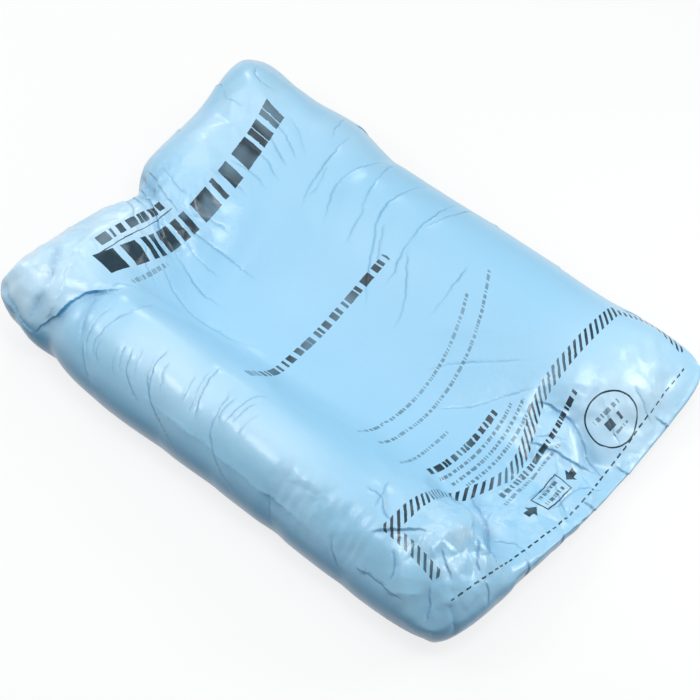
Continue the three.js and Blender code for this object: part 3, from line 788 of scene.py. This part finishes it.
# block arrow, measured back from its tip and out from its middle line
def inkArrow(tree, u, v, arrow, shape):
    tipU, tipV, way = arrow
    headLength, slope, stemMiddle, stemHalf, stemOut = shape
    toTip = addNode(tree, "ShaderNodeMath", {"operation": "SUBTRACT"}, {0: tipV, 1: v})
    back = addNode(tree, "ShaderNodeMath", {"operation": "MULTIPLY"}, {0: toTip, 1: way})
    across = addNode(tree, "ShaderNodeMath", {"operation": "SUBTRACT"}, {0: u, 1: tipU})
    out = addNode(tree, "ShaderNodeMath", {"operation": "ABSOLUTE"}, {0: across})
    flank = addNode(tree, "ShaderNodeMath", {"operation": "MULTIPLY"}, {0: back, 1: slope})
    pointed = addNode(tree, "ShaderNodeMath", {"operation": "LESS_THAN"}, {0: out, 1: flank})
    ahead = addNode(tree, "ShaderNodeMath", {"operation": "LESS_THAN"}, {0: back, 1: headLength})
    head = addNode(tree, "ShaderNodeMath", {"operation": "MULTIPLY"}, {0: pointed, 1: ahead})
    behind = addNode(tree, "ShaderNodeMath", {"operation": "COMPARE"}, {0: back, 1: stemMiddle, 2: stemHalf})
    slim = addNode(tree, "ShaderNodeMath", {"operation": "LESS_THAN"}, {0: out, 1: stemOut})
    stem = addNode(tree, "ShaderNodeMath", {"operation": "MULTIPLY"}, {0: behind, 1: slim})
    return joinInk(tree, [head, stem])


# dark blue ink: a striped frame, a dashed line, rows of plain bars, a ring, a panel and arrows
def makePrint(tree, u, v, settings):
    shapes = [
        inkFrame(tree, u, v, settings),
        inkDashes(tree, u, v, settings),
        inkRows(tree, u, v, settings),
        inkBox(tree, u, v, settings["underline"]),
        inkRing(tree, u, v, settings["ring"]),
        inkPanel(tree, u, v, settings["panel"]),
    ]
    for arrow in settings["arrows"]:
        shapes.append(inkArrow(tree, u, v, arrow, settings["arrowShape"]))
    print("print:", len(settings["rows"]), "rows of bars, a striped frame, a ring and two arrows")
    return joinInk(tree, shapes)


filmSettings = {
    "colour": "99cfee",
    "sheenAndMilkColour": "ceebfc",  # painted sheen: whiter where highlights fall, and milky by chance
    "sideShadeColour": "2c9ac8",  # painted shade: deeper on steep film that faces down or sideways
    # painted shade along the folds
    "foldShadeColour": "3a86b4",
    "ink": "08303f",
    "roughness": (0.27, 0.39),
    "ior": 1.53,
    "coat": 0.4,
    "coatRoughness": 0.28,
    "crinkleMm": 9,
    "crinkle": 0.16,
    "crinkleDeepMm": 2,
    "rubbedMm": 40,  # soft patches, some duller than others, and some with their ink worn thin
    "dull": (0.1, 0.9),  # span of the patches' chance that the roughness follows
    "worn": (0.35, 0.5),  # and that the ink follows
    "inkWorn": 0.75,
}


# blown high-density polyethylene film: pale blue, satin, with broad soft highlights and sharp crinkles
def makeFilm(settings):
    film = bpy.data.materials.new("blue_polyethylene_film")
    film.use_nodes = True
    tree = film.node_tree
    tree.nodes.clear()
    place = addNode(tree, "ShaderNodeTexCoord")
    flat = addNode(tree, "ShaderNodeUVMap", {"uv_map": "film"})
    inMm = addNode(tree, "ShaderNodeVectorMath", {"operation": "SCALE"}, {
        0: flat, "Scale": 1 / millimetre})
    parts = addNode(tree, "ShaderNodeSeparateXYZ", None, {0: inMm})
    ink = makePrint(tree, parts.outputs["X"], parts.outputs["Y"], printSettings)
    doubled = addNode(tree, "ShaderNodeAttribute", {"attribute_name": "doubled"})
    steep = addNode(tree, "ShaderNodeAttribute", {"attribute_name": "steep"})
    loose = addNode(tree, "ShaderNodeAttribute", {"attribute_name": "loose"})
    # inputs 6 and 7 of a mix are its two colours, and output 2 is the mixed one
    # painted sheen: the film turns whiter where highlights fall, and milky at random
    sheenAndMilkMixed = addNode(tree, "ShaderNodeMix", {"data_type": "RGBA"}, {
        0: loose.outputs["Fac"], 6: toLinear(settings["colour"]), 7: toLinear(settings["sheenAndMilkColour"])})
    # painted shade: steep film turns deeper blue
    sideShaded = addNode(tree, "ShaderNodeMix", {"data_type": "RGBA"}, {
        0: steep.outputs["Fac"], 6: sheenAndMilkMixed.outputs[2], 7: toLinear(settings["sideShadeColour"])})
    # painted shade darkens the film along its folds
    plain = addNode(tree, "ShaderNodeMix", {"data_type": "RGBA"}, {
        0: doubled.outputs["Fac"], 6: sideShaded.outputs[2], 7: toLinear(settings["foldShadeColour"])})
    rubbed = addNode(tree, "ShaderNodeTexNoise", None, {
        "Vector": place.outputs["Object"], "Scale": 1 / (settings["rubbedMm"] * millimetre), "Detail": 1.0})
    worn = addNode(tree, "ShaderNodeMapRange", None, {
        "Value": rubbed.outputs["Fac"], "From Min": settings["worn"][0], "From Max": settings["worn"][1],
        "To Min": settings["inkWorn"]})
    inked = addNode(tree, "ShaderNodeMath", {"operation": "MULTIPLY"}, {0: ink, 1: worn})
    colour = addNode(tree, "ShaderNodeMix", {"data_type": "RGBA"}, {
        0: inked, 6: plain.outputs[2], 7: toLinear(settings["ink"])})
    # soft unevenness of the film
    crinkle = addNode(tree, "ShaderNodeTexNoise", None, {
        "Vector": place.outputs["Object"], "Scale": 1 / (settings["crinkleMm"] * millimetre),
        "Detail": 3.0, "Roughness": 0.55})
    bump = addNode(tree, "ShaderNodeBump", None, {
        "Strength": settings["crinkle"], "Distance": settings["crinkleDeepMm"] * millimetre,
        "Height": crinkle.outputs["Fac"]})
    satin = addNode(tree, "ShaderNodeMapRange", None, {
        "Value": rubbed.outputs["Fac"], "From Min": settings["dull"][0], "From Max": settings["dull"][1],
        "To Min": settings["roughness"][0], "To Max": settings["roughness"][1]})
    shader = addNode(tree, "ShaderNodeBsdfPrincipled", None, {
        "Base Color": colour.outputs[2], "Roughness": satin, "IOR": settings["ior"], "Normal": bump,
        "Coat Weight": settings["coat"], "Coat Roughness": settings["coatRoughness"], "Coat Normal": bump})
    addNode(tree, "ShaderNodeOutputMaterial", None, {"Surface": shader})
    return film


bag = makeBag(bagSettings)
layFilm(bag, bagSettings)
subdivideBag(bag)
slackenFilm(bag, slackSettings)
subdivideBag(bag)
crumpleFilm(bag, crumpleSettings)
creaseFilm(bag, creaseSettings)
markShadeSheenAndMilk(bag, shadeSheenAndMilkSettings)
thinBag(bag, thinSettings)
bag.data.materials.clear()
bag.data.materials.append(makeFilm(filmSettings))
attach(bag, "root")
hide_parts(bagSettings["node"])

stageSettings = {
    "floorSize": 12.0,
    "floorColour": "f4f5f6",
    "bounceColour": "5c6165",
    "glowColour": "ffffff",
    "floorGlow": 0.8,
    "worldColour": "f7fafc",
    "worldStrength": 0.40,
    "lamps": [
        # name, place and size in metres, power in watts
        ("overhead_softbox", (0.40, -0.20, 1.25), 0.40, 4.5),
        ("far_softbox", (-0.35, 0.20, 1.25), 1.0, 1.6),
        ("left_softbox", (-0.40, -0.10, 0.85), 0.6, 0.6),
        ("rim_softbox", (-0.40, -0.45, 0.85), 0.22, 1.4),
        ("ear_softbox", (-0.90, -0.25, 0.50), 0.25, 0.9),
        ("roll_softbox", (-0.90, 0.75, 0.80), 0.35, 2.0),
        ("corner_softbox", (0.65, 0.40, 0.42), 0.22, 1.35),
        ("end_softbox", (0.60, 0.75, 0.60), 0.3, 1.2),
    ],
}


def makeStage(settings):
    deselectAll()
    bpy.ops.mesh.primitive_plane_add(size=settings["floorSize"])
    floor = bpy.context.object
    floor.name = "floor"
    paint = bpy.data.materials.new("white_paper_floor")
    paint.use_nodes = True
    tree = paint.node_tree
    tree.nodes.clear()
    # the camera and the gloss see white paper, and the bag gets the light of a greyer one
    seen = addNode(tree, "ShaderNodeLightPath")
    seenOrGloss = addNode(tree, "ShaderNodeMath", {"operation": "MAXIMUM"}, {
        0: seen.outputs["Is Camera Ray"], 1: seen.outputs["Is Glossy Ray"]})
    white = addNode(tree, "ShaderNodeMath", {"operation": "MAXIMUM"}, {
        0: seenOrGloss, 1: seen.outputs["Is Transmission Ray"]})
    tone = addNode(tree, "ShaderNodeMix", {"data_type": "RGBA"}, {
        0: white, 6: toLinear(settings["bounceColour"]), 7: toLinear(settings["floorColour"])})
    paper = addNode(tree, "ShaderNodeBsdfDiffuse", None, {"Color": tone.outputs[2]})
    glow = addNode(tree, "ShaderNodeEmission", None, {
        "Color": toLinear(settings["glowColour"]), "Strength": 1.0})
    share = addNode(tree, "ShaderNodeMath", {"operation": "MULTIPLY"}, {0: white, 1: settings["floorGlow"]})
    mixed = addNode(tree, "ShaderNodeMixShader", None, {0: share, 1: paper, 2: glow})
    addNode(tree, "ShaderNodeOutputMaterial", None, {"Surface": mixed})
    floor.data.materials.append(paint)

    world = bpy.data.worlds.new("studio")
    bpy.context.scene.world = world
    world.use_nodes = True
    tree = world.node_tree
    tree.nodes.clear()
    around = addNode(tree, "ShaderNodeBackground", None, {
        "Color": toLinear(settings["worldColour"]), "Strength": settings["worldStrength"]})
    addNode(tree, "ShaderNodeOutputWorld", None, {"Surface": around})

    for name, place, size, power in settings["lamps"]:
        bpy.ops.object.light_add(type="AREA", location=place)
        lamp = bpy.context.object
        lamp.name = name
        lamp.data.shape = "DISK"
        lamp.data.size = size
        lamp.data.energy = power
        lamp.visible_camera = False
        lamp.rotation_euler = (-Vector(place)).to_track_quat("-Z", "Y").to_euler()
    print("stage: floor, world and", len(settings["lamps"]), "lamps")


cameraSettings = {
    "azimuth": 41.7,  # degrees
    "elevation": 53.3,
    "distance": 2.399,  # metres
    "target": (0.014, -0.008, 0.040),
    "sensorMm": 36.0,
    "focalPixels": 2600,
    "imagePixels": 700,
}


def makeCamera(settings):
    turn = math.radians(settings["azimuth"])
    lift = math.radians(settings["elevation"])
    back = Vector((math.sin(turn) * math.cos(lift), -math.cos(turn) * math.cos(lift), math.sin(lift)))
    place = Vector(settings["target"]) + back * settings["distance"]
    bpy.ops.object.camera_add(location=place, rotation=back.to_track_quat("Z", "Y").to_euler())
    camera = bpy.context.object
    camera.name = "photo_camera"
    camera.data.sensor_width = settings["sensorMm"]
    camera.data.lens = settings["sensorMm"] * settings["focalPixels"] / settings["imagePixels"]
    bpy.context.scene.camera = camera
    print("camera: lens", round(camera.data.lens, 1), "mm")


makeStage(stageSettings)
makeCamera(cameraSettings)
bpy.context.scene.view_settings.view_transform = "Standard"
